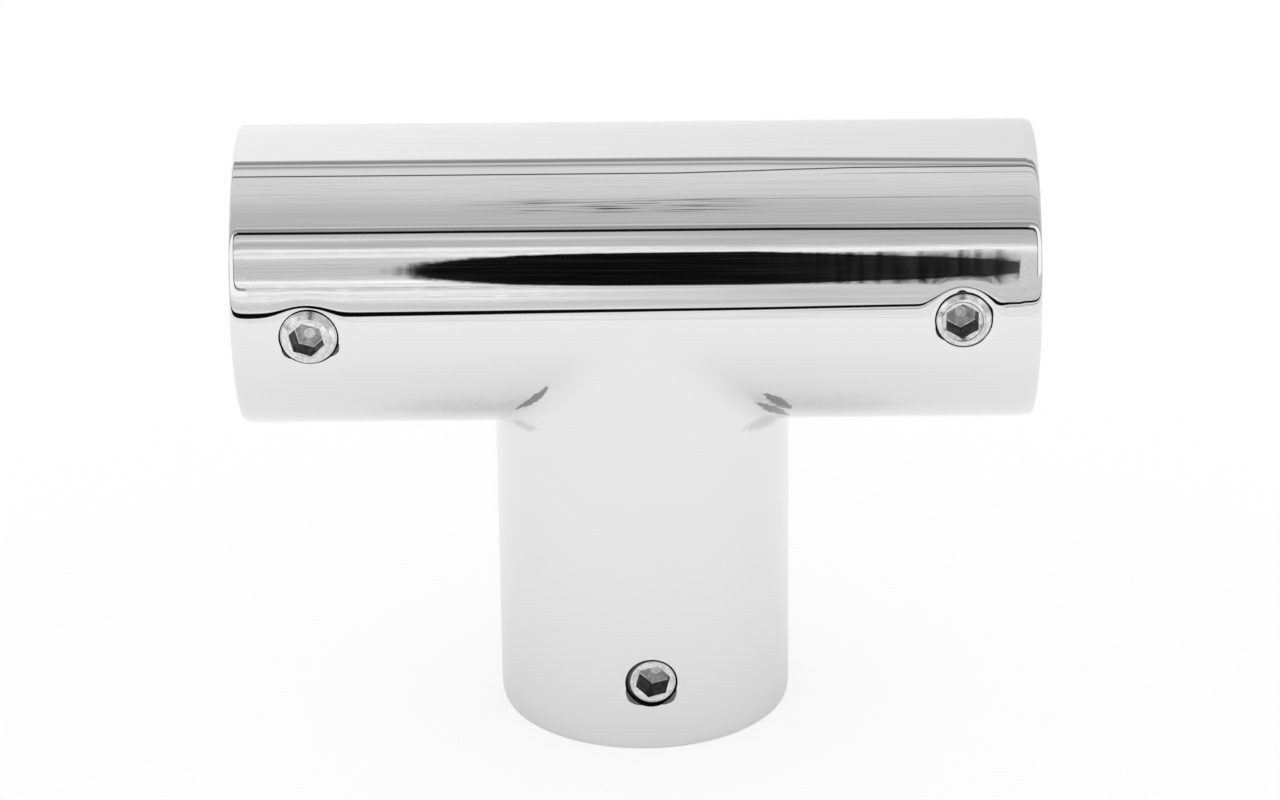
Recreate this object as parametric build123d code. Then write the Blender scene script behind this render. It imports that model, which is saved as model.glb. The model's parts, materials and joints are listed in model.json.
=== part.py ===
from build123d import *
from collections import namedtuple
from math import cos, radians, sin
import os

# Tube that each arm takes, and the casting's wall round it
tube_diameter = 22.2
tube_clearance = 0.1
wall_thickness = 3.4

# Reach of each arm's mouth from the point where the three axes cross
left_reach = 38.9
right_reach = 38.1
stem_reach = 45.3

# Cored middle: how far its shoulders stand in from the bore, and how far they stay from the crossing
shoulder_height = 1.0
stop_distance = 13.5

# Rounds and lead-ins of the casting
rim_round = 0.6
mouth_chamfer = 0.4
hole_edge_chamfer = 0.2

# Set screw without a head: hex socket at the outer end, flat point with a chamfer at the inner end
screw_diameter = 6.0
screw_length = 3.2
thread_clearance = 0.05
face_chamfer = 0.25
point_chamfer = 0.5
hex_across_flats = 3.0
hex_depth = 2.3
drill_point_depth = 0.4

# Place of each set screw: distance in from its mouth, angle round the arm away from square to the front,
# distance of its point back from the bore's wall, and angle of its hex from a corner towards the mouth
left_screw_inset = 7.4
left_screw_angle = 4.0
left_point_back = 0.3
left_hex_angle = 43.0
right_screw_inset = 7.3
right_screw_angle = -0.8
right_point_back = 0.3
right_hex_angle = 30.0
stem_screw_inset = 7.4
stem_screw_angle = 2.8
stem_point_back = 0.0
stem_hex_angle = 45.0

# Sizes that follow from those above
bore_radius = tube_diameter / 2 + tube_clearance
outer_radius = bore_radius + wall_thickness
core_radius = bore_radius - shoulder_height
hole_radius = screw_diameter / 2
screw_radius = hole_radius - thread_clearance

# Cutting tools run this far past the surface that they open
overrun = 1.0

# An arm has the way out of its mouth, its reach, the way out along its screw, and its screw's place
Arm = namedtuple("Arm", "out reach screw_out inset point_back hex_angle")


def turned_down(angle):
    """Way to the front, turned down by an angle in degrees, for a screw on the bar."""
    return Vector(0, -cos(radians(angle)), -sin(radians(angle)))


def turned_right(angle):
    """Way to the front, turned to the right by an angle in degrees, for a screw on the stem."""
    return Vector(sin(radians(angle)), -cos(radians(angle)), 0)


crossing = Vector(0, 0, stem_reach)
arms = {
    "left": Arm(
        Vector(-1, 0, 0), left_reach, turned_down(left_screw_angle),
        left_screw_inset, left_point_back, left_hex_angle,
    ),
    "right": Arm(
        Vector(1, 0, 0), right_reach, turned_down(right_screw_angle),
        right_screw_inset, right_point_back, right_hex_angle,
    ),
    "stem": Arm(
        Vector(0, 0, -1), stem_reach, turned_right(stem_screw_angle),
        stem_screw_inset, stem_point_back, stem_hex_angle,
    ),
}


def rod(origin, direction, radius, start, end):
    """Round rod along a direction, from start to end, measured from an origin on its axis."""
    foot = Plane(origin=origin + direction * start, z_dir=direction)
    return foot * Cylinder(radius, end - start, align=(Align.CENTER, Align.CENTER, Align.MIN))


def tee_form(radius, left_end, right_end, stem_end):
    """Solid tee of three equal round arms."""
    bar = rod(crossing, arms["right"].out, radius, -left_end, right_end)
    stem = rod(crossing, arms["stem"].out, radius, 0, stem_end)
    return bar + stem


def screw_axis_point(arm):
    """Point on an arm's axis that its set screw aims at."""
    return crossing + arm.out * (arm.reach - arm.inset)


def tee_body():
    """One casting: a polished tee, drilled for its set screws, bored from each mouth and cored inside."""
    body = tee_form(outer_radius, left_reach, right_reach, stem_reach)
    body = fillet(body.edges().filter_by(GeomType.CIRCLE), rim_round)

    # Screw holes go in from outside as far as the arm's axis, so that only their mouths have an edge yet
    for arm in arms.values():
        drill = rod(screw_axis_point(arm), arm.screw_out, hole_radius, 0, outer_radius + overrun)
        drilled = body - drill
        hole_mouth = [
            edge
            for edge in new_edges(body, drill, combined=drilled)
            if edge.geom_type not in (GeomType.CIRCLE, GeomType.LINE)
        ]
        body = chamfer(hole_mouth, hole_edge_chamfer)

    body -= tee_form(core_radius, stop_distance, stop_distance, stop_distance)
    for arm in arms.values():
        socket = rod(crossing, arm.out, bore_radius, stop_distance, arm.reach + overrun)
        lead_in = Plane(origin=crossing + arm.out * arm.reach, z_dir=-arm.out) * Cone(
            bore_radius + mouth_chamfer, bore_radius, mouth_chamfer,
            align=(Align.CENTER, Align.CENTER, Align.MIN),
        )
        body -= socket + lead_in
    return body


def set_screw():
    """Set screw in its own frame: outer face at zero, body going down, and a hex corner towards +X."""
    body = Cylinder(screw_radius, screw_length, align=(Align.CENTER, Align.CENTER, Align.MAX))
    body = chamfer(body.edges().filter_by(GeomType.CIRCLE).sort_by(Axis.Z)[-1], face_chamfer)
    body = chamfer(body.edges().filter_by(GeomType.CIRCLE).sort_by(Axis.Z)[0], point_chamfer)
    socket = extrude(RegularPolygon(hex_across_flats / 2, 6, major_radius=False), -hex_depth)
    drill_point = Pos(0, 0, -hex_depth) * Cone(
        0, hex_across_flats / 2, drill_point_depth, align=(Align.CENTER, Align.CENTER, Align.MAX)
    )
    return body - socket - drill_point


def placed_screw(arm):
    """Set screw in an arm's hole, its point at the stated distance back from the bore."""
    face_radius = bore_radius + arm.point_back + screw_length
    origin = screw_axis_point(arm) + arm.screw_out * face_radius
    seat = Plane(origin=origin, x_dir=arm.out, z_dir=arm.screw_out)
    return seat * Rot(0, 0, arm.hex_angle) * set_screw()


os.makedirs("parts", exist_ok=True)
export_step(tee_body(), "parts/tee_body.step")
for name, arm in arms.items():
    export_step(placed_screw(arm), f"parts/set_screw_{name}.step")
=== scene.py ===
import json

import bpy
import numpy as np
from mathutils import Matrix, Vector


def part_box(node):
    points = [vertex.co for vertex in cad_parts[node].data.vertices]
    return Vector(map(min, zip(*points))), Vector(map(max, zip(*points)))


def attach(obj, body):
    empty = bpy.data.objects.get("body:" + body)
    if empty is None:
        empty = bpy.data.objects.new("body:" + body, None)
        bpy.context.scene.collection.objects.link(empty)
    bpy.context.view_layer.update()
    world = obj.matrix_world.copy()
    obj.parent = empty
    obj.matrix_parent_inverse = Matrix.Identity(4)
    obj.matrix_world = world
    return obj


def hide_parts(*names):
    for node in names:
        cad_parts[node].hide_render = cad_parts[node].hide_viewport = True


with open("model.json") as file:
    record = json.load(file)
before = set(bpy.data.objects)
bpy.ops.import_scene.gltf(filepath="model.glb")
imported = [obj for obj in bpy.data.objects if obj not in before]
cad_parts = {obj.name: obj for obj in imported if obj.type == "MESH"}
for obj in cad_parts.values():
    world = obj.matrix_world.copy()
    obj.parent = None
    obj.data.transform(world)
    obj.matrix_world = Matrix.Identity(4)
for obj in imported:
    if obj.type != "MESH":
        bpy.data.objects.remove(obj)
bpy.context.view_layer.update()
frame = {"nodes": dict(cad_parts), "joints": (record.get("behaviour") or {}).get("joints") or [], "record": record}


# Tee casting: one investment casting of stainless steel, three equal round arms with their sockets bored
# from the mouths and the middle left as cored. Buffed round each arm to a mirror outside, then drilled and
# tapped for a set screw near each mouth. Lengths here are in millimetres, along and across each arm.
tee_low, tee_high = (np.array(corner) * 1000 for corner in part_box("tee_body"))
outer_radius = (tee_high[1] - tee_low[1]) / 2
crossing = np.array([0, 0, tee_high[2] - outer_radius])
bore_radius = frame["record"]["mounts"][0]["dims"]["r_mm"]
shoulder_height = 1.0
core_radius = bore_radius - shoulder_height
stop_distance = 13.5
crease_blend = 0.5
crease_softness = 3.0
rim_run, rim_drop = 2.3, 0.45
rim_run_on_top = {"left": 0.3, "right": 1.3, "stem": 1.3}
mouth_chamfer = 0.4

front = np.array([0, -1.0, 0])
arm_out = {"left": np.array([-1.0, 0, 0]), "right": np.array([1.0, 0, 0]), "stem": np.array([0, 0, -1.0])}
arm_side = {"left": np.array([0, 0, 1.0]), "right": np.array([0, 0, 1.0]), "stem": np.array([1.0, 0, 0])}
arm_reach = {"left": -tee_low[0], "right": tee_high[0], "stem": crossing[2]}

# Each set screw's axis, how far out along its arm it sits, and the heights of its face and its point
# above the arm's axis
screw_axis = {joint["child"].split("_")[0]: np.array(joint["axis"]) for joint in frame["joints"]}
screw_station, screw_face, screw_point = {}, {}, {}
for arm in arm_out:
    node = frame["nodes"]["set_screw_" + arm]
    corners = np.empty(len(node.data.vertices) * 3)
    node.data.vertices.foreach_get("co", corners)
    corners = corners.reshape(-1, 3) * 1000 - crossing
    along = corners @ arm_out[arm]
    height = corners @ screw_axis[arm]
    screw_station[arm] = (along.min() + along.max()) / 2
    screw_face[arm], screw_point[arm] = height.max(), height.min()

# Tapped holes: M6 thread of 1 mm pitch. The bar's two holes are opened out at the mouth, and the stem's isn't
thread_pitch = 1.0
hole_crest_radius = {"left": 2.76, "right": 2.62, "stem": 2.5}
hole_root_radius = 3.12
mouth_radius = {"left": 2.87, "right": 2.76, "stem": 2.58}
mouth_depth = 0.5
dimple_depth = {"left": 0.055, "right": 0.13, "stem": 0.02}
dimple_reach = {"left": 5.8, "right": 5.0, "stem": 5.0}

# Angles round a hole start at the way out of its arm and go on to the arm's side: where the mouth was opened
# out further by mouth_shift, and the nicks (turn, half width, size) where the thread's groove breaks out
mouth_shift = {"left": 0.03, "right": 0.12, "stem": 0.05}
mouth_shift_turn = {"left": np.pi, "right": np.pi, "stem": 0.0}
nicks = {
    "left": ((np.radians(-152), 0.30, 0.30), (np.radians(-38), 0.26, 0.22)),
    "right": ((np.radians(-150), 0.30, 0.20), (np.radians(22), 0.30, 0.14), (np.radians(97), 0.18, 0.22)),
    "stem": ((np.radians(-48), 0.45, 0.42), (np.radians(46), 0.42, 0.42)),
}

# Angles round an arm start at the back, so that its front is in the middle of the grid
columns = 240
patch_half = 13
around = np.linspace(-np.pi, np.pi, columns + 1)


def arm_frame(arm, theta):
    """Way out of an arm from its axis at angle theta: cosine to the front plus sine to its side."""
    return np.cos(theta)[..., None] * front + np.sin(theta)[..., None] * arm_side[arm]


def crease_share(arm, theta):
    """How far out the crease with the neighbouring arm is, as a share of the radius: the sine on the bar's
    underside and on both sides of the stem, and nothing on top of the bar."""
    return np.abs(np.sin(theta)) if arm == "stem" else np.maximum(0, -np.sin(theta))


def arm_skin(arm, radius, blend, softness, theta, run):
    """Skin of an arm at angle theta, run out from its seam. The first stretch is the lower half of a ball that
    rolls along the crease: its centre is at radius plus blend from both axes, and the skin is the ball's far
    side, turned from the middle of the crease towards the arm. Beyond it the skin is the plain cylinder. Buffing
    has softened the crease more where it is shallow, so the normals turn over a longer run at the front."""
    share = crease_share(arm, theta)
    away = arm_frame(arm, theta)
    out = arm_out[arm]
    cosine = np.where(share > 0, np.cos(theta) ** 2, 1)
    half_turn = np.arccos(np.clip(cosine, -1, 1)) / 2
    blend_run = blend * half_turn
    centre = (radius + blend) * (away + share[..., None] * out)
    neighbour = np.cos(theta)[..., None] * front + share[..., None] * out
    middle = away + neighbour
    middle = middle / np.linalg.norm(middle, axis=-1, keepdims=True)
    towards = (np.sign(np.sin(theta))[..., None] * arm_side[arm] - out) / np.sqrt(2)
    turn = np.minimum(run / max(blend, 1e-9), half_turn)[..., None]
    ball_way = middle * np.cos(turn) + towards * np.sin(turn)
    on_ball = (run < blend_run)[..., None]
    station = (radius + blend) * share + run - blend_run
    points = np.where(on_ball, centre - blend * ball_way, radius * away + station[..., None] * out)
    soft_turn = half_turn * np.clip(run / (blend_run + softness * np.cos(theta) ** 2 + 1e-9), 0, 1)
    soft = middle * np.cos(soft_turn)[..., None] + towards * np.sin(soft_turn)[..., None]
    return points, np.where((share > 0)[..., None], soft, away)


def seam_run(arm, radius, blend, theta, station):
    """Length of skin from an arm's seam to a station on its axis: the ball's half turn, then the plain run."""
    share = crease_share(arm, theta)
    cosine = np.where(share > 0, np.cos(theta) ** 2, 1)
    half_turn = np.arccos(np.clip(cosine, -1, 1)) / 2
    return blend * half_turn + station - (radius + blend) * share


def turned_grid(arm, profile, theta):
    """Surface of revolution about an arm's axis: each row of the profile holds a station, a radius, and the
    normal's parts along and away from the axis."""
    station, radius, along, aside = (column[:, None, None] for column in np.asarray(profile).T)
    away = arm_frame(arm, theta)[None]
    out = arm_out[arm]
    return station * out + radius * away, along * out + aside * away + 0 * away


def hole_dimple(arm, distance):
    """Depth and slope of the hollow that buffing leaves round a hole: the fourth power of what is left of its
    reach."""
    rest = np.clip((dimple_reach[arm] - distance) / (dimple_reach[arm] - mouth_radius[arm]), 0, 1)
    slope = 4 * dimple_depth[arm] / (dimple_reach[arm] - mouth_radius[arm]) * rest**3
    return dimple_depth[arm] * rest**4, slope


def hole_patch(arm, radius, boundary_turn, boundary_station, edge, rows, dimpled, crowding):
    """Skin round a screw hole: straight lines fan out from the hole's edge to the square of grid points about
    it, in the plane across the screw's axis, and are laid onto the arm's cylinder less the dimple."""
    hole_turn = screw_turn[arm]
    across = radius * np.sin(boundary_turn - hole_turn)
    along = boundary_station - screw_station[arm]
    angle = np.arctan2(across, along)
    outer = np.hypot(across, along)
    share = (np.linspace(0, 1, rows + 1) ** crowding)[:, None]
    inner = edge(angle)[None]
    distance = inner + (outer[None] - inner) * share
    across, along = distance * np.sin(angle), distance * np.cos(angle)
    depth, slope = hole_dimple(arm, distance) if dimpled else (0 * distance, 0 * distance)
    turn = hole_turn + np.arcsin(across / (radius - depth))
    away = arm_frame(arm, turn)
    tangent = -np.sin(turn)[..., None] * front + np.cos(turn)[..., None] * arm_side[arm]
    station = (screw_station[arm] + along)[..., None]
    points = station * arm_out[arm] + (radius - depth)[..., None] * away
    uphill = np.sin(angle)[None, :, None] * tangent + np.cos(angle)[None, :, None] * arm_out[arm]
    normals = away - slope[..., None] * uphill
    return points, normals, turn, angle


def helix_radius(angle, height, crest, root):
    """Radius of a thread at an angle and a height: a rounded wave between crest and root, one pitch a turn."""
    wave = 0.5 - 0.5 * np.cos(2 * np.pi * (height / thread_pitch - angle / (2 * np.pi)))
    wave = wave * wave * (3 - 2 * wave)
    return crest + (root - crest) * wave


def opened_radius(arm, angle):
    """Radius of the opened-out mouth about the hole's axis: a circle whose centre is shifted a little."""
    turn = angle - mouth_shift_turn[arm]
    shift = mouth_shift[arm]
    return shift * np.cos(turn) + np.sqrt(mouth_radius[arm] ** 2 - (shift * np.sin(turn)) ** 2)


def tapped_edge(arm):
    """Hole's edge at its outer mouth: the opened-out circle with its nicks, each as wide as it is stated."""

    def edge(angle):
        radius = opened_radius(arm, angle)
        for turn, half_width, size in nicks[arm]:
            away = np.abs((angle - turn + np.pi) % (2 * np.pi) - np.pi)
            radius = radius + size * np.clip(1 - away / half_width, 0, 1) ** 0.7
        return radius

    return edge


def bore_edge(angle):
    """Hole's edge where it comes out in the bore: a plain circle at the thread's root."""
    return np.full_like(angle, hole_root_radius)


screw_turn = {arm: np.arctan2(screw_axis[arm] @ arm_side[arm], screw_axis[arm] @ front) for arm in arm_out}


def patch_rim(turn_index, stations, radius_turns):
    """Angles and stations of the square of grid points round a patch, in order, with its first point repeated."""
    low, high = turn_index
    turns = radius_turns[low:high + 1]
    steps = len(turns) - 1
    first, last = stations[0], stations[-1]
    turn = np.concatenate([turns, np.full(steps - 1, turns[-1]), turns[::-1], np.full(steps, turns[0])[1:]])
    station = np.concatenate([
        np.full(steps + 1, last), stations[::-1][1:-1], np.full(steps + 1, first), stations[1:-1],
    ])
    return np.append(turn, turn[0]), np.append(station, station[0])


def grid_quads(rows, cols):
    """Corner numbers of a grid's quads, row by row."""
    corner = (np.arange(rows - 1)[:, None] * cols + np.arange(cols - 1)).ravel()
    return np.stack([corner, corner + 1, corner + cols + 1, corner + cols], axis=1)


def welded_mesh(name, pieces, materials):
    """Mesh from grids of points, normals and UVs: equal points are welded, quads that a pole closes become
    triangles, each face is turned to agree with its normals, and every corner keeps its own normal."""
    points, normals, uvs, quads, slots = [], [], [], [], []
    start = 0
    for grid_points, grid_normals, grid_uvs, slot, kept in pieces:
        rows, cols = grid_points.shape[:2]
        faces = grid_quads(rows, cols)
        if kept is not None:
            faces = faces[kept.ravel()]
        points.append(grid_points.reshape(-1, 3))
        normals.append(np.broadcast_to(grid_normals, grid_points.shape).reshape(-1, 3))
        uvs.append(grid_uvs.reshape(-1, 2))
        quads.append(faces + start)
        slots.append(np.full(len(faces), slot))
        start += rows * cols
    points, normals, uvs = np.concatenate(points), np.concatenate(normals), np.concatenate(uvs)
    quads, slots = np.concatenate(quads), np.concatenate(slots)
    normals = normals / np.linalg.norm(normals, axis=1, keepdims=True)
    _, first, welded = np.unique(np.round(points, 4), axis=0, return_index=True, return_inverse=True)
    welded = welded.ravel()

    a, b, c, d = (points[quads[:, k]] for k in range(4))
    facing = np.einsum("ij,ij->i", np.cross(c - a, d - b), normals[quads].sum(axis=1))
    quads[facing < 0] = quads[facing < 0][:, ::-1]
    numbers = welded[quads]
    same = numbers == np.roll(numbers, -1, axis=1)
    closed = same.any(axis=1)
    keep = (np.argmax(same, axis=1)[:, None] + np.array([1, 2, 3])) % 4
    triangles = np.take_along_axis(quads, keep, axis=1)[closed]
    whole = quads[~closed]
    corners = np.concatenate([whole.ravel(), triangles.ravel()])

    mesh = bpy.data.meshes.new(name)
    mesh.from_pydata(points[first] * 0.001, [], welded[whole].tolist() + welded[triangles].tolist())
    for material in materials:
        mesh.materials.append(material)
    mesh.polygons.foreach_set("material_index", np.concatenate([slots[~closed], slots[closed]]).astype(np.int32))
    layer = mesh.uv_layers.new(name="surface")
    layer.data.foreach_set("uv", uvs[corners].astype(np.float32).ravel())
    mesh.shade_smooth()
    mesh.normals_split_custom_set(normals[corners])
    return mesh


class Grey:
    """Value in a shader's node tree. Plain arithmetic on it adds Math nodes to the tree."""

    def __init__(self, tree, socket):
        self.tree, self.socket = tree, socket

    def __add__(self, other):
        return maths(self.tree, "ADD", self, other)

    def __sub__(self, other):
        return maths(self.tree, "SUBTRACT", self, other)

    def __rsub__(self, other):
        return maths(self.tree, "SUBTRACT", other, self)

    def __mul__(self, other):
        return maths(self.tree, "MULTIPLY", self, other)

    def __truediv__(self, other):
        return maths(self.tree, "DIVIDE", self, other)

    def __pow__(self, other):
        return maths(self.tree, "POWER", self, other)

    def __abs__(self):
        return maths(self.tree, "ABSOLUTE", self)

    __radd__, __rmul__ = __add__, __mul__


def plug(tree, socket, value):
    """Feed a socket from a grey, or set it to a plain number."""
    if isinstance(value, Grey):
        tree.links.new(value.socket, socket)
    else:
        socket.default_value = value


def maths(tree, operation, *values, clamp=False):
    """Grey from a Math node of that operation, on numbers and greys."""
    node = tree.nodes.new("ShaderNodeMath")
    node.operation = operation
    node.use_clamp = clamp
    for socket, value in zip(node.inputs, values):
        plug(tree, socket, value)
    return Grey(tree, node.outputs[0])


def shader_group(name, sockets):
    """Empty node group with the named input sockets, each a (name, default) pair, and one value output."""
    group = bpy.data.node_groups.new(name, "ShaderNodeTree")
    for label, default in sockets:
        socket = group.interface.new_socket(label, in_out="INPUT", socket_type="NodeSocketFloat")
        socket.default_value = default
    group.interface.new_socket("Value", in_out="OUTPUT", socket_type="NodeSocketFloat")
    inputs, output = group.nodes.new("NodeGroupInput"), group.nodes.new("NodeGroupOutput")
    return group, {label: Grey(group, inputs.outputs[label]) for label, _ in sockets}, output.inputs["Value"]


def stretched_noise(tree, scale, detail):
    """Noise on the surface UV, stretched by a scale along each of its two ways."""
    surface = tree.nodes.new("ShaderNodeUVMap")
    surface.uv_map = "surface"
    mapping = tree.nodes.new("ShaderNodeMapping")
    mapping.inputs["Scale"].default_value = (*scale, 1)
    noise = tree.nodes.new("ShaderNodeTexNoise")
    noise.inputs["Scale"].default_value = 1
    noise.inputs["Detail"].default_value = detail
    tree.links.new(surface.outputs["UV"], mapping.inputs["Vector"])
    tree.links.new(mapping.outputs["Vector"], noise.inputs["Vector"])
    return Grey(tree, noise.outputs["Fac"])


def height_group(name, layers):
    """Node group for the height of a bump: the sum of stretched noises, from layers of (input that multiplies
    the noise, scale, detail)."""
    group, inputs, output = shader_group(name, [(label, 1.0) for label, _, _ in layers])
    total = sum(inputs[label] * stretched_noise(group, scale, detail) for label, scale, detail in layers)
    plug(group, output, total)
    return group


def steel_material(name, grey, roughness, height_group, settings):
    """Bare steel: a metallic shader with a fixed grey and roughness, and a bump from a height group, whose
    height is in thousandths of a millimetre."""
    material = bpy.data.materials.new(name)
    material.use_nodes = True
    nodes, links = material.node_tree.nodes, material.node_tree.links
    shader = nodes["Principled BSDF"]
    shader.inputs["Base Color"].default_value = (grey, grey, grey, 1)
    shader.inputs["Metallic"].default_value = 1
    shader.inputs["Roughness"].default_value = roughness
    height = nodes.new("ShaderNodeGroup")
    height.node_tree = height_group
    for label, value in settings.items():
        height.inputs[label].default_value = value
    bump = nodes.new("ShaderNodeBump")
    bump.inputs["Strength"].default_value = 1
    bump.inputs["Distance"].default_value = 1e-6
    links.new(height.outputs["Value"], bump.inputs["Height"])
    links.new(bump.outputs["Normal"], shader.inputs["Normal"])
    return material


def painted_corner_mask(tree, place, frayed, tip, end, width, belly, sharpness):
    """Mask of a leaf-shaped patch of painted shade and reflection from a tip to an end, both (x, z) in metres on
    the front and the back. Its width falls to nothing at both, belly shifts it to one side of the line between
    them, and noise frays it."""
    tip, end = np.array(tip), np.array(end)
    middle, half = (tip + end) / 2, np.linalg.norm(end - tip) / 2
    turn = np.arctan2(end[1] - tip[1], end[0] - tip[0])
    mapping = tree.nodes.new("ShaderNodeMapping")
    mapping.vector_type = "TEXTURE"
    mapping.inputs["Location"].default_value = (*middle, 0)
    mapping.inputs["Rotation"].default_value = (0, 0, turn)
    mapping.inputs["Scale"].default_value = (half, width, 1)
    part = tree.nodes.new("ShaderNodeSeparateXYZ")
    tree.links.new(place, mapping.inputs["Vector"])
    tree.links.new(mapping.outputs["Vector"], part.inputs[0])
    along, across = Grey(tree, part.outputs["X"]), Grey(tree, part.outputs["Y"])
    bulge = 1 - along * along
    inside_by = bulge - abs(across - bulge * belly) + frayed
    return maths(tree, "MULTIPLY", inside_by, sharpness, clamp=True)


def add_painted_corner_shade(material):
    """Painted shade and painted dark reflections in the corners under the bar, as darker leaves of the steel's
    colour.
    """
    tree = material.node_tree
    nodes, links = tree.nodes, tree.links
    shader = nodes["Principled BSDF"]
    coordinate = nodes.new("ShaderNodeTexCoord")
    part, place = nodes.new("ShaderNodeSeparateXYZ"), nodes.new("ShaderNodeCombineXYZ")
    noise = nodes.new("ShaderNodeTexNoise")
    noise.inputs["Scale"].default_value = 1800
    noise.inputs["Detail"].default_value = 3
    links.new(coordinate.outputs["Object"], part.inputs[0])
    links.new(coordinate.outputs["Object"], noise.inputs["Vector"])
    links.new(part.outputs["X"], place.inputs[0])
    links.new(part.outputs["Z"], place.inputs[1])
    frayed = (Grey(tree, noise.outputs["Fac"]) - 0.5) * 1.2
    colour = None
    for *leaf, shade in painted_corner_shade:
        mix = nodes.new("ShaderNodeMix")
        mix.data_type = "RGBA"
        plug(tree, mix.inputs[0], painted_corner_mask(tree, place.outputs[0], frayed, *leaf))
        if colour is None:
            mix.inputs[6].default_value = shader.inputs["Base Color"].default_value
        else:
            links.new(colour, mix.inputs[6])
        mix.inputs[7].default_value = (shade, shade, shade, 1)
        colour = mix.outputs[2]
    links.new(colour, shader.inputs["Base Color"])


# Painted shade and reflections in the corners under the bar, as (tip, end, half width, belly, sharpness, shade),
# places in metres: two long faint bands of painted shade along the underside, two short faint ones, and three
# dark leaves of painted reflection in the crease
painted_corner_shade = (
    ((-0.0262, 0.0352), (-0.0100, 0.0352), 0.0022, 0.0, 0.9, 0.70),
    ((0.0120, 0.0352), (0.0262, 0.0352), 0.0022, 0.0, 0.9, 0.72),
    ((-0.0130, 0.0325), (-0.0098, 0.0330), 0.0006, 0.0, 1.5, 0.66),
    ((0.0092, 0.0330), (0.0150, 0.0322), 0.0009, 0.0, 1.5, 0.66),
    ((-0.01250, 0.03480), (-0.00870, 0.03880), 0.00050, -0.7, 3.0, 0.31),
    ((0.01150, 0.03730), (0.01475, 0.03450), 0.00070, 0.1, 3.0, 0.33),
    ((0.01075, 0.03610), (0.01475, 0.03285), 0.00066, 0.05, 3.0, 0.36),
)

buffed_height = height_group("buffed_height", (("Scratch", (4.0, 0.18), 3), ("Wave", (0.09, 0.05), 1)))
buffed_steel = steel_material("buffed_steel", 0.82, 0.02, buffed_height, {"Scratch": 0.03, "Wave": 12.0})
bored_steel = steel_material("bored_steel", 0.56, 0.32, buffed_height, {"Scratch": 10.0, "Wave": 0.0})
# Tapped steel nearly black: painted shade inside the holes, for the dark gap round each screw
tapped_steel = steel_material("tapped_steel", 0.14, 0.3, buffed_height, {"Scratch": 20.0, "Wave": 0.0})
# Darker leaves of the steel's colour under the bar: painted shade and painted reflections
add_painted_corner_shade(buffed_steel)

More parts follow.
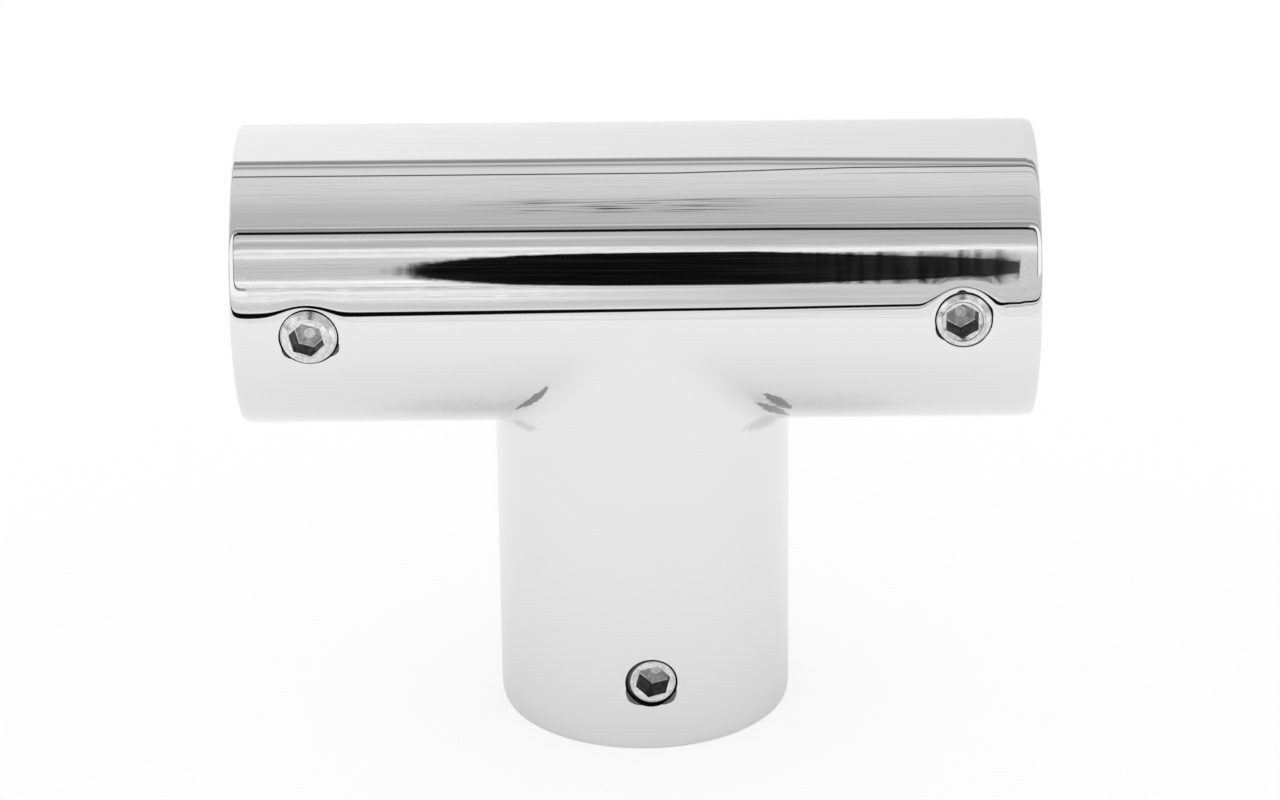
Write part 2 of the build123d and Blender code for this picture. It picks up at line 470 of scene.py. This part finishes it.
seam_rows = 27
seam_crowding = 3.5
wall_rows = 36
outside, inside, tapped = 0, 1, 2
tee_pieces = []
for arm in arm_out:
    reach, out = arm_reach[arm], arm_out[arm]
    sign = {"left": -1, "right": 1, "stem": -1}[arm]

    def uv(station, turn, radius):
        """UV in millimetres: along the arm's axis and round it."""
        station, turn = np.broadcast_arrays(station, turn)
        return np.stack([sign * station, turn * radius], axis=-1)

    # Outside, from the seam with the neighbouring arms to the rows that hold the screw hole
    middle = int(round((screw_turn[arm] + np.pi) / (2 * np.pi) * columns))
    low, high = middle - patch_half, middle + patch_half
    half_width = outer_radius * np.sin(around[high] - around[middle])
    hole_stations = screw_station[arm] + np.linspace(-half_width, half_width, 2 * patch_half + 1)
    length = seam_run(arm, outer_radius, crease_blend, around, hole_stations[0])
    share = np.linspace(0, 1, seam_rows + 1)
    share = np.expm1(seam_crowding * share) / np.expm1(seam_crowding)
    run = share[:, None] * length[None]
    turns = np.broadcast_to(around, run.shape)
    points, normals = arm_skin(arm, outer_radius, crease_blend, crease_softness, turns, run)
    tee_pieces.append((points, normals, uv(points @ out, turns, outer_radius), outside, None))

    # Rows that hold the screw hole, less the square that its patch fills
    rows = [(station, outer_radius, 0, 1) for station in hole_stations]
    points, normals = turned_grid(arm, rows, around)
    kept = np.ones((len(rows) - 1, columns), bool)
    kept[:, low:high] = False
    tee_pieces.append((points, normals, uv(points @ out, around[None], outer_radius), outside, kept))

    rim_turn, rim_station = patch_rim((low, high), hole_stations, around)
    points, normals, turn, mouth_angle = hole_patch(
        arm, outer_radius, rim_turn, rim_station, tapped_edge(arm),
        rows=22, dimpled=True, crowding=1.6,
    )
    tee_pieces.append((points, normals, uv(points @ out, turn, outer_radius), outside, None))
    mouth_points = points[0]

    # Plain run out to the rim, and the rim's round: a cubic ellipse, x³ + y³ = 1, which starts slowly
    step = np.linspace(0, 1, 4)[:-1, None]
    turn = (np.pi / 2 * np.linspace(0, 1, 25) ** 1.5)[:, None]
    topward = np.clip(np.sin(around) * 2 - 0.6, 0, 1)
    run = rim_run + (rim_run_on_top[arm] - rim_run) * topward * topward * (3 - 2 * topward)
    out_share = np.sin(turn) ** (2 / 3)
    in_share = np.abs(np.cos(turn)) ** (2 / 3)
    in_share[-1] = 0
    away = arm_frame(arm, around)
    plain = hole_stations[-1] + (reach - run - hole_stations[-1]) * step
    station = np.vstack([plain, reach - run + run * out_share])
    drop = np.vstack([0 * step, rim_drop * (1 - in_share)])
    points = station[..., None] * out + (outer_radius - drop)[..., None] * away
    along = np.vstack([0 * plain, rim_drop * out_share**2 + 0 * run])
    aside = np.vstack([1 + 0 * plain, run * in_share**2])
    normals = along[..., None] * out + aside[..., None] * away
    tee_pieces.append((points, normals, uv(station, around[None], outer_radius), outside, None))
    for first, last, along, aside in (
        ((reach, outer_radius - rim_drop), (reach, bore_radius + mouth_chamfer), 1, 0),
        ((reach, bore_radius + mouth_chamfer), (reach - mouth_chamfer, bore_radius), 0.7071, -0.7071),
        ((stop_distance, bore_radius), (stop_distance, core_radius), 1, 0),
    ):
        points, normals = turned_grid(arm, [(*first, along, aside), (*last, along, aside)], around)
        radius = np.array([first[1], last[1]])[:, None]
        tee_pieces.append((points, normals, uv(radius, around[None], bore_radius), inside, None))

    # Bore from its mouth to the shoulder, with the hole's inner end in it
    half_width = bore_radius * np.sin(around[high] - around[middle])
    bore_stations = screw_station[arm] + np.linspace(-half_width, half_width, 2 * patch_half + 1)
    rows = [(station, bore_radius, 0, -1) for station in bore_stations]
    points, normals = turned_grid(arm, rows, around)
    tee_pieces.append((points, normals, uv(points @ out, around[None], bore_radius), inside, kept))
    for ends in ((reach - mouth_chamfer, bore_stations[-1]), (bore_stations[0], stop_distance)):
        points, normals = turned_grid(arm, [(station, bore_radius, 0, -1) for station in ends], around)
        tee_pieces.append((points, normals, uv(points @ out, around[None], bore_radius), inside, None))
    rim_turn, rim_station = patch_rim((low, high), bore_stations, around)
    points, normals, turn, bore_angle = hole_patch(
        arm, bore_radius, rim_turn, rim_station, bore_edge, rows=3, dimpled=False, crowding=1.0
    )
    tee_pieces.append((points, -normals, uv(points @ out, turn, bore_radius), inside, None))

    # Cored middle, from the shoulder in to where the three cores meet
    length = seam_run(arm, core_radius, 0, around, stop_distance)
    run = np.linspace(0, 1, 5)[:, None] * length[None]
    turns = np.broadcast_to(around, run.shape)
    points, normals = arm_skin(arm, core_radius, 0, 0, turns, run)
    tee_pieces.append((points, -normals, uv(points @ out, turns, core_radius), inside, None))

    # Tapped wall of the hole, from its mouth on the outside to its mouth in the bore
    step = (np.linspace(0, 1, wall_rows + 1))[:, None]
    angle = mouth_angle * (1 - step) + bore_angle * step
    mouth_height = mouth_points @ screw_axis[arm]
    bore_height = np.sqrt(bore_radius**2 - (hole_root_radius * np.sin(bore_angle)) ** 2)
    height = mouth_height * (1 - step) + bore_height * step
    sunk = mouth_height - height
    thread = helix_radius(angle, height, hole_crest_radius[arm], hole_root_radius)
    thread = np.minimum(thread, mouth_radius[arm] + np.clip(sunk - mouth_depth, 0, 1))
    opened = opened_radius(arm, angle) - np.clip((sunk - mouth_depth) / 0.3, 0, 1) * 0.5
    distance = np.maximum(thread, opened)
    distance[0] = tapped_edge(arm)(mouth_angle)
    distance[-1] = hole_root_radius
    sideways = np.cross(screw_axis[arm], out)
    sideways = sideways * np.sign(sideways @ arm_side[arm])
    way = np.sin(angle)[..., None] * sideways + np.cos(angle)[..., None] * out
    points = screw_station[arm] * out + height[..., None] * screw_axis[arm] + distance[..., None] * way
    slope = np.gradient(distance, axis=0) / np.minimum(np.gradient(height, axis=0), -1e-6)
    normals = slope[..., None] * screw_axis[arm] - way
    tee_pieces.append((points, normals, uv(height, angle, 3.0), tapped, None))

tee_pieces = [(points + crossing, *rest) for points, *rest in tee_pieces]
tee_mesh = welded_mesh("polished_tee", tee_pieces, [buffed_steel, bored_steel, tapped_steel])
tee = bpy.data.objects.new("polished_tee", tee_mesh)
bpy.context.scene.collection.objects.link(tee)
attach(tee, "tee")
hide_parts("tee_body")


# Three set screws without heads: M6, turned from stainless bar with the thread rolled and a 3 mm hex broached
# into a drilled hole. Each is screwed nearly flush into its arm.
thread_crest_radius = 2.93
thread_root_radius = 2.46
point_radius, point_slope = 2.2, 0.25
hex_flat_radius = 1.53
screw_columns = 144
face_radius = {"left": 2.72, "right": 2.60, "stem": 2.22}
flat_radius = {"left": 2.0, "right": 2.1, "stem": 2.05}
face_slope = {"left": 0.45, "right": 0.45, "stem": 0.3}
collar_height = {"left": 0.3, "right": 0.3, "stem": 0}
socket_mouth_radius = {"left": 1.80, "right": 1.93, "stem": 1.80}
mouth_lip = {"left": 0.005, "right": 0.03, "stem": 0.005}
socket_mouth_slope = {"left": 0.15, "right": 0.35, "stem": 0.2}
socket_depth = {"left": 1.6, "right": 2.8, "stem": 2.85}
socket_turn = {"left": 43, "right": 30, "stem": 15}
socket_narrowing = {"left": 0.88, "right": 0.96, "stem": 0.96}
drill_radius = 0.55
drill_point = 0.1
floor_round = 0.14
floor_tilt = 0.27
lip_width = 0.07
under_face_slope = 1.3
face_shift_fade = 0.6

# Shifts in the plane of a screw's face, right and up: the face against the hole, the broached socket against
# the face, and the socket's floor against its mouth
face_shift = {"left": (0, 0), "right": (-0.12, 0), "stem": (0.15, 0)}
socket_shift = {"left": (-0.18, -0.16), "right": (-0.14, -0.08), "stem": (0, 0)}
floor_shift = {"left": (0.2, 0), "right": (0, 0), "stem": (0.4, 0)}
turned, broached, walled, drilled, threaded = range(5)


def hexagon_radius(angle):
    """Radius of the hexagon at an angle from a corner: its flat's radius over the cosine from the flat."""
    return hex_flat_radius / np.cos((angle % (np.pi / 3)) - np.pi / 6)


def ring_grid(rows, angle, way, axis):
    """Grid from rows of (radius, height, shift): the first two each a number or an array over the angles."""
    radius = np.stack([np.broadcast_to(row[0], angle.shape) for row in rows])
    height = np.stack([np.broadcast_to(row[1], angle.shape) for row in rows])
    shift = np.stack([row[2] for row in rows])[:, None]
    return radius[..., None] * way + height[..., None] * axis + shift, radius, height


def flat_normals(points):
    """Normals of a grid from its own steps: the cross product of the way along and the way across."""
    return np.cross(np.gradient(points, axis=0), np.gradient(points, axis=1))


def patchy_group():
    """Grey between Dark and Bright, in soft patches, Scale of them to the metre on Object coordinates; Rings
    is the share of it that follows rings round the screw's axis instead."""
    group, inputs, output = shader_group(
        "patchy_grey", [("Scale", 2500.0), ("Rings", 0.0), ("Dark", 0.5), ("Bright", 0.8)]
    )
    coordinate = group.nodes.new("ShaderNodeTexCoord")
    noise = group.nodes.new("ShaderNodeTexNoise")
    noise.inputs["Detail"].default_value = 3
    group.links.new(coordinate.outputs["Object"], noise.inputs["Vector"])
    plug(group, noise.inputs["Scale"], inputs["Scale"])
    patches, rings = Grey(group, noise.outputs["Fac"]), stretched_noise(group, (6.0, 0.3), 1)
    mixed = patches + (rings - patches) * inputs["Rings"]
    share = maths(group, "DIVIDE", mixed - 0.35, 0.3, clamp=True)
    plug(group, output, inputs["Dark"] + (inputs["Bright"] - inputs["Dark"]) * share)
    return group


def add_patches(material, settings):
    """Patchy grey in place of a steel's plain one."""
    nodes, links = material.node_tree.nodes, material.node_tree.links
    patches = nodes.new("ShaderNodeGroup")
    patches.node_tree = patchy_grey
    for label, value in settings.items():
        patches.inputs[label].default_value = value
    links.new(patches.outputs["Value"], nodes["Principled BSDF"].inputs["Base Color"])


turned_height = height_group("turned_height", (("Rings", (7.0, 0.25), 2), ("Grain", (9.0, 9.0), 2)))
patchy_grey = patchy_group()
turned_steel = steel_material("turned_steel", 0.74, 0.16, turned_height, {"Rings": 18.0, "Grain": 3.0})
broached_steel = steel_material("broached_steel", 0.45, 0.35, turned_height, {"Rings": 6.0, "Grain": 20.0})
drilled_steel = steel_material("drilled_steel", 0.85, 0.35, turned_height, {"Rings": 6.0, "Grain": 20.0})
socket_wall = steel_material("socket_wall", 0.22, 0.4, turned_height, {"Rings": 0.0, "Grain": 20.0})
# Thread steel nearly black: painted shade, for the dark ring in the gap round each screw in its hole
thread_steel = steel_material("thread_steel", 0.10, 0.3, turned_height, {"Rings": 0.0, "Grain": 8.0})
add_patches(turned_steel, {"Scale": 2500, "Rings": 0.5, "Dark": 0.52, "Bright": 0.92})
add_patches(broached_steel, {"Scale": 2500, "Dark": 0.34, "Bright": 0.60})
add_patches(drilled_steel, {"Scale": 4000, "Dark": 0.65, "Bright": 1.0})
add_patches(socket_wall, {"Scale": 1500, "Dark": 0.12, "Bright": 0.34})

for arm in arm_out:
    axis, out = screw_axis[arm], arm_out[arm]
    # Angles are measured from the right, or from the image's right for the stem, anticlockwise from the front
    right = np.array([1.0, 0, 0]) - axis[0] * axis
    right = right / np.linalg.norm(right)
    up = np.cross(axis, right)
    start = np.radians(socket_turn[arm])
    angle = start + np.linspace(0, 2 * np.pi, screw_columns + 1)
    way = np.cos(angle)[:, None] * right + np.sin(angle)[:, None] * up
    hexagon = hexagon_radius(angle - start)
    face, point = screw_face[arm], screw_point[arm]
    depth = socket_depth[arm]

    # Thread in phase with its hole, cut off by the chamfers of the face and the point
    sideways = np.cross(axis, out)
    sideways = sideways * np.sign(sideways @ arm_side[arm])
    hole_angle = np.arctan2(way @ sideways, way @ out)[None]
    shoulder = face - face_slope[arm] * (face_radius[arm] - flat_radius[arm])
    height = np.linspace(shoulder, point, 49)[:, None] + 0 * angle
    radius = helix_radius(hole_angle, height, thread_root_radius, thread_crest_radius)
    collar = np.where(shoulder - height < collar_height[arm], face_radius[arm], 0)
    radius = np.maximum(radius, collar)
    radius = np.minimum(radius, face_radius[arm] + (shoulder - height) * under_face_slope)
    radius = np.minimum(radius, point_radius + (height - point) * point_slope)
    rim_shift = face_shift[arm][0] * right + face_shift[arm][1] * up
    hex_shift = rim_shift + socket_shift[arm][0] * right + socket_shift[arm][1] * up
    low_shift = hex_shift + floor_shift[arm][0] * right + floor_shift[arm][1] * up
    fade = np.clip(1 - (shoulder - height) / face_shift_fade, 0, 1)[..., None]
    points = radius[..., None] * way + height[..., None] * axis + fade * rim_shift
    pieces = [(points, flat_normals(points), np.stack([height, 3 * angle + 0 * height], -1), threaded, None)]

    mouth = socket_mouth_radius[arm]
    lip = face - mouth_lip[arm]
    outline_depth = np.maximum(mouth - hexagon, 0.0) * socket_mouth_slope[arm]
    low = hexagon * socket_narrowing[arm]
    bottom = face - depth
    surfaces = [
        ([(face_radius[arm], shoulder, rim_shift), (flat_radius[arm], face, rim_shift)], turned),
        ([(flat_radius[arm], face, rim_shift), (mouth + lip_width, face, hex_shift)], turned),
        # A deeper lip takes the nearly black thread steel: painted shade in a thin ring round the socket's mouth
        ([(mouth + lip_width, face, hex_shift), (mouth, lip, hex_shift)],
         threaded if mouth_lip[arm] > 0.01 else turned),
        ([(mouth, lip, hex_shift), (hexagon, lip - outline_depth, hex_shift)], turned),
        ([(hexagon, lip - outline_depth, hex_shift), (low, bottom + floor_round, low_shift)], walled),
        # The round between the socket's walls and floor takes the lighter turned steel, not the broached: its thin
        # white lines are partly reflection, partly painted highlight
        ([(low - floor_round * (1 - np.cos(step)), bottom + floor_round * (1 - np.sin(step)), low_shift)
          for step in np.linspace(0, np.pi / 2, 5)], turned),
        ([(low - floor_round, bottom, low_shift), (drill_radius, bottom, low_shift)], broached),
        ([(drill_radius, bottom, low_shift), (0, bottom - drill_point, low_shift)], drilled),
        ([(0, point, 0 * axis), (point_radius, point, 0 * axis)], turned),
    ]
    for rows, slot in surfaces:
        points, radius, height = ring_grid(rows, angle, way, axis)
        across_face = points[1] - points[0]
        round_way = np.cross(axis, way)
        side = np.floor((angle - start) / (np.pi / 3) + 1e-6)
        corner_way = start + (side + 0.5) * np.pi / 3
        inward = -(np.cos(corner_way)[:, None] * right + np.sin(corner_way)[:, None] * up)
        if slot == walled:
            normals = inward
        elif slot in (broached, drilled):
            normals = axis + floor_tilt * up
        elif len(rows) > 2:
            turn = np.linspace(0, np.pi / 2, len(rows))[:, None, None]
            normals = inward * np.cos(turn) + axis * np.sin(turn)
        else:
            normals = np.cross(round_way, across_face)
            lengths = np.linalg.norm(normals, axis=1, keepdims=True)
            normals = normals / np.maximum(lengths, 1e-9)
        pieces.append((points, normals, np.stack([radius, 3 * angle + 0 * radius], -1), slot, None))

    origin = crossing + screw_station[arm] * out
    pieces = [(points + origin, *rest) for points, *rest in pieces]
    steels = [turned_steel, broached_steel, socket_wall, drilled_steel, thread_steel]
    screw_mesh = welded_mesh("socket_screw_" + arm, pieces, steels)
    screw = bpy.data.objects.new("socket_screw_" + arm, screw_mesh)
    bpy.context.scene.collection.objects.link(screw)
    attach(screw, arm + "_screw")
    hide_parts("set_screw_" + arm)


# Table: a white sheet that the tee stands on, with the soft shadow that it keeps
floor_mesh = bpy.data.meshes.new("white_sheet")
sheet_corners = [(-0.5, -0.16, 0), (0.5, -0.16, 0), (0.5, 0.6, 0), (-0.5, 0.6, 0)]
floor_mesh.from_pydata(sheet_corners, [], [(0, 1, 2, 3)])
floor = bpy.data.objects.new("white_sheet", floor_mesh)
bpy.context.scene.collection.objects.link(floor)
sheet = bpy.data.materials.new("white_sheet")
sheet.use_nodes = True
nodes, links = sheet.node_tree.nodes, sheet.node_tree.links
paper = nodes["Principled BSDF"]
paper.inputs["Base Color"].default_value = (1, 1, 1, 1)
paper.inputs["Roughness"].default_value = 1
paper.inputs["Specular IOR Level"].default_value = 0
glow = nodes.new("ShaderNodeEmission")
glow.inputs["Color"].default_value = (1, 1, 1, 1)
path = nodes.new("ShaderNodeLightPath")
share = nodes.new("ShaderNodeMath")
share.operation = "MULTIPLY"
share.inputs[1].default_value = 0.75
blend = nodes.new("ShaderNodeMixShader")
links.new(path.outputs["Is Camera Ray"], share.inputs[0])
links.new(share.outputs[0], blend.inputs[0])
links.new(paper.outputs["BSDF"], blend.inputs[1])
links.new(glow.outputs["Emission"], blend.inputs[2])
links.new(blend.outputs[0], nodes["Material Output"].inputs["Surface"])
floor_mesh.materials.append(sheet)


# Studio: plain white light all round. What mirrors see of it is a white tent with the dark gaps between its
# panels, the grey of its front, and the dark oval opening that the picture is taken through
studio = bpy.data.worlds.new("studio")
bpy.context.scene.world = studio
studio.use_nodes = True
nodes, links = studio.node_tree.nodes, studio.node_tree.links
nodes.clear()

tent_tree = studio.node_tree
coordinate = nodes.new("ShaderNodeTexCoord")
part = nodes.new("ShaderNodeSeparateXYZ")
links.new(coordinate.outputs["Generated"], part.inputs[0])
x, y, z = (Grey(tent_tree, part.outputs[axis]) for axis in "XYZ")

# Height of a direction over the front horizon, turned over the top to the back: 0 ahead, 90 up, 180 behind
climb = maths(tent_tree, "DEGREES", maths(tent_tree, "ARCTAN2", z, y * -1))
sideways = x / maths(tent_tree, "SQRT", y * y + z * z)


def least(value, other):
    """Smaller of the two."""
    return maths(tent_tree, "MINIMUM", value, other)


def most(value, other):
    """Larger of the two."""
    return maths(tent_tree, "MAXIMUM", value, other)


def ramp(value, stops):
    """Light along a value, in straight runs between stops of (value, light)."""
    low, high = stops[0][0], stops[-1][0]
    node = nodes.new("ShaderNodeValToRGB")
    elements = node.color_ramp.elements
    elements.remove(elements[1])
    elements[0].position = 0
    elements[0].color = (stops[0][1],) * 3 + (1,)
    for stop, light in stops[1:]:
        elements.new((stop - low) / (high - low)).color = (light, light, light, 1)
    plug(tent_tree, node.inputs[0], (value - low) / (high - low))
    return Grey(tent_tree, node.outputs[0])


def step(value, low, high):
    """0 below low, 1 above high, straight between; high may be the smaller one."""
    return maths(tent_tree, "DIVIDE", value - low, high - low, clamp=True)


def strip(value, centre, half, soft):
    """1 within half of a centre, falling to 0 across a soft edge; centre and half may be greys."""
    return maths(tent_tree, "DIVIDE", half + soft / 2 - abs(value - centre), soft, clamp=True)


def painted(light, mask, paint):
    """Light with paint over it where the mask is 1."""
    mix = nodes.new("ShaderNodeMix")
    for socket, value in ((mix.inputs[0], mask), (mix.inputs[2], light), (mix.inputs[3], paint)):
        plug(tent_tree, socket, value)
    return Grey(tent_tree, mix.outputs[0])


def streaks(across_scale, climb_scale, detail):
    """Noise drawn out along the horizon, from 0 to 1."""
    place = nodes.new("ShaderNodeCombineXYZ")
    plug(tent_tree, place.inputs[0], sideways * across_scale)
    plug(tent_tree, place.inputs[1], climb * climb_scale)
    noise = nodes.new("ShaderNodeTexNoise")
    noise.inputs["Scale"].default_value = 1
    noise.inputs["Detail"].default_value = detail
    links.new(place.outputs[0], noise.inputs["Vector"])
    return Grey(tent_tree, noise.outputs["Fac"])


# Sideways as far as the panels reach, and how far to the right of the middle
level = most(least(sideways, 0.11), -0.11)
aside = abs(sideways)
rightward = most(level - 0.02, 0)

# Tent's roof, from its front edge over the top to the white behind, which is dimmer towards the right; its back
# part hangs lower there
lifted = climb + rightward * 60 * step(climb, 90, 105)
roof = ramp(lifted, (
    (52.6, 0.30), (53.6, 0.46), (54.2, 0.29), (55.1, 0.45), (55.8, 0.76), (56.6, 0.56), (57.3, 0.49),
    (58.2, 0.58), (66, 0.575), (70, 0.61), (74, 0.65), (78, 0.71), (84, 0.76), (90, 0.79), (103, 0.83),
    (106, 0.80), (107.5, 0.74), (108.6, 0.58), (109.8, 0.32), (110.6, 0.50), (111.5, 0.70), (112, 0.76),
    (112.8, 0.48), (113.6, 0.33), (114.3, 0.26), (115, 0.33), (116.2, 0.37), (117, 0.62), (117.9, 0.88),
    (119, 1.0), (122, 0.98), (132, 0.95),
))
# Its front, whose folds differ between the left and the right
front_left = ramp(climb, (
    (-14, 0.92), (-8.2, 0.89), (-7, 0.73), (-3, 0.73), (-0.4, 0.88), (0.3, 0.97), (2, 0.82), (3, 0.93),
    (4, 0.82), (5, 0.95), (6, 1.05), (6.8, 0.89), (8, 0.70), (9.8, 0.64), (10.9, 0.94), (12.8, 0.87),
    (13.8, 1.2), (16, 0.68), (25, 0.63), (31.5, 0.74), (33.2, 0.99), (34.3, 1.0), (35.5, 0.73), (38.2, 1.08),
    (40, 0.58), (43.5, 0.54), (45, 0.66), (46, 0.90), (47.4, 0.70), (49, 0.62), (51, 0.55),
))
front_right = ramp(climb, (
    (-14, 0.92), (-8, 0.90), (-6.5, 0.83), (-5, 0.68), (-3, 0.63), (-1, 0.70), (4, 0.67), (7, 0.71),
    (25, 0.71), (31, 0.78), (33, 0.93), (36, 1.05), (36.8, 0.83), (38.5, 0.62), (42, 0.60), (44, 0.56),
    (51, 0.53),
))
light = painted(front_left, step(sideways, -0.045, 0.03), front_right)
light = painted(light, step(climb, 52.3, 52.7), roof)
light = painted(light, step(lifted, 117, 118.5), 0.95 - level * 0.72)

# Wrinkles of its cloth, stronger low on the front, with bright sparkle over and under the dark opening
wrinkle = streaks(22, 0.75, 3) - 0.5
light = light * (wrinkle * (step(climb, 53, 51) * 0.4 + 0.12) + 1)
sparkle = step(streaks(200, 2.2, 3), 0.50, 0.60)
sparkling = most(strip(climb, 36, 3, 3), strip(climb, 7, 9, 6) * step(sideways, 0, -0.04))
light = painted(light, sparkle * sparkling * 0.6, 1.2)

# Roof's creases: fine ones all over, dark ones close together above the opening, and a long thin one
fine_creases = strip(climb, 80, 23, 6) * step(streaks(16, 2.6, 3), 0.56, 0.64)
light = painted(light, fine_creases * 0.4, 0.3)
dark_creases = strip(climb, 71.3, 5.5, 3) * strip(sideways, -0.012, 0.03, 0.02)
light = painted(light, dark_creases * step(streaks(45, 1.5, 2), 0.53, 0.60), 0.09)
long_climb = 73.2 + step(sideways, -0.04, 0.01) * 3.4
long_crease = strip(climb, long_climb, 0.4, 0.8) * step(sideways, -0.055, -0.042)
light = painted(light, long_crease * step(streaks(30, 0.3, 2), 0.36, 0.56), 0.30)

# Seams: one across the roof that climbs towards the right over a short second one, the black front edge of
# the roof, and the black lower edge of the front, which thins towards the right, over a grey hem
black = 0.003
seam_climb = 100.6 + step(sideways, 0.002, 0.045) * 3.8
light = painted(light, strip(climb, seam_climb, 0.62, 0.7), 0.06)
light = painted(light, strip(climb, 98.6, 0.3, 0.6) * step(sideways, 0.035, 0.055), 0.2)
edge_climb = 51.5 - step(sideways, 0.03, 0.09) * 1.3
light = painted(light, strip(climb, edge_climb, 1.05, 0.5) * step(aside, 0.17, 0.14), black)
hem_climb = level * 20 + rightward * 15 - 9.5
hem_half = 1.2 - least(level, 0) * 8 - most(level, 0) * 3
grey_hem = strip(climb, hem_climb - 2.4, 0.5, 0.8) * step(sideways, 0.02, 0.05)
light = painted(light, grey_hem * 0.8, 0.33)
light = painted(light, strip(climb, hem_climb, hem_half, 0.5), black)

# Front's opening: a rounded rectangle, as a power sum, whose thin dark edge shows at both ends of the bar,
# with white cloth beyond it, and dark far to the sides
opening_half_climb, opening_half_side, opening_power = 21.5, 0.5, 4
opening_climb = (climb - (edge_climb - opening_half_climb)) / opening_half_climb
opening_side = sideways / opening_half_side
opening = (abs(opening_climb) ** opening_power + abs(opening_side) ** opening_power) ** (1 / opening_power)
on_right = step(sideways, 0, 0.01)
beyond = step(aside, 0.12, 0.15) * strip(climb, on_right * 5 + 28, 24.5 - on_right * 5, 2)
light = painted(light, beyond * step(opening, 1.0, 1.04), 1.1)
light = painted(light, beyond * step(climb, 4, 12) * strip(opening, 1.0, 0.05, 0.03), 0.05)
light = painted(light, step(aside, 2.4, 3.4) * strip(climb, 18, 30, 4), 0.25)

# Dark oval opening in the front, as a power sum that is 1 at its edge: pointed on the left, blunt and a little
# lower and narrower on the right, and drawn out into fine hairs at both ends by the scratches of buffing
oval_climb, oval_half_climb = 21.8, 12.6
oval_side, oval_left, oval_right = 0.0115, 0.078, 0.0755
upward = abs(climb - (oval_climb - rightward * 20)) / (oval_half_climb - rightward * 55)
left_share = most((oval_side - sideways) / oval_left, 0)
right_share = most((sideways - oval_side) / oval_right, 0)
hairs = step(streaks(2600, 0.02, 0), 0.40, 0.60) - 0.5
upward = upward * (hairs * (right_share * right_share * 0.8 + 0.02) + 1)
comb = hairs * (left_share ** 3 * 0.25 + right_share ** 6 * 0.2)
reach = upward ** 2 + left_share ** 3.35 + right_share ** 28 + comb
dark = most(wrinkle, 0) * 0.06 + most(rightward * (hairs * 0.9 + 0.3), 0) + 0.004
light = painted(light, step(reach, 1.06, 0.94), dark)

tent = nodes.new("ShaderNodeBackground")
links.new(light.socket, tent.inputs["Color"])
plain = nodes.new("ShaderNodeBackground")
plain.inputs["Color"].default_value = (1, 1, 1, 1)
path = nodes.new("ShaderNodeLightPath")
seen = nodes.new("ShaderNodeMixShader")
output = nodes.new("ShaderNodeOutputWorld")
links.new(path.outputs["Is Glossy Ray"], seen.inputs[0])
links.new(plain.outputs[0], seen.inputs[1])
links.new(tent.outputs[0], seen.inputs[2])
links.new(seen.outputs[0], output.inputs["Surface"])


# Camera: in front and above, a long lens nearly square to the bar
camera_distance = 0.400
camera_height, camera_turn, camera_roll = np.radians([22.9114, 0.4747, 0.700])
camera_target = np.array([-0.0002067, 0, 0.0314712])
back = np.array([
    np.sin(camera_turn) * np.cos(camera_height),
    -np.cos(camera_turn) * np.cos(camera_height),
    np.sin(camera_height),
])
across = np.array([np.cos(camera_turn), np.sin(camera_turn), 0])
rise = np.cross(back, across)
image_right = np.cos(camera_roll) * across - np.sin(camera_roll) * rise
image_up = np.sin(camera_roll) * across + np.cos(camera_roll) * rise
camera = bpy.data.objects.new("camera", bpy.data.cameras.new("camera"))
camera.data.lens = 113.18
camera.data.sensor_width = 36
camera.data.clip_start, camera.data.clip_end = 0.01, 10
placed = np.eye(4)
placed[:3, :3] = np.stack([image_right, image_up, back], axis=1)
placed[:3, 3] = camera_target + camera_distance * back
camera.matrix_world = Matrix(placed.tolist())
bpy.context.scene.collection.objects.link(camera)
bpy.context.scene.camera = camera

bpy.context.scene.view_settings.view_transform = "Standard"
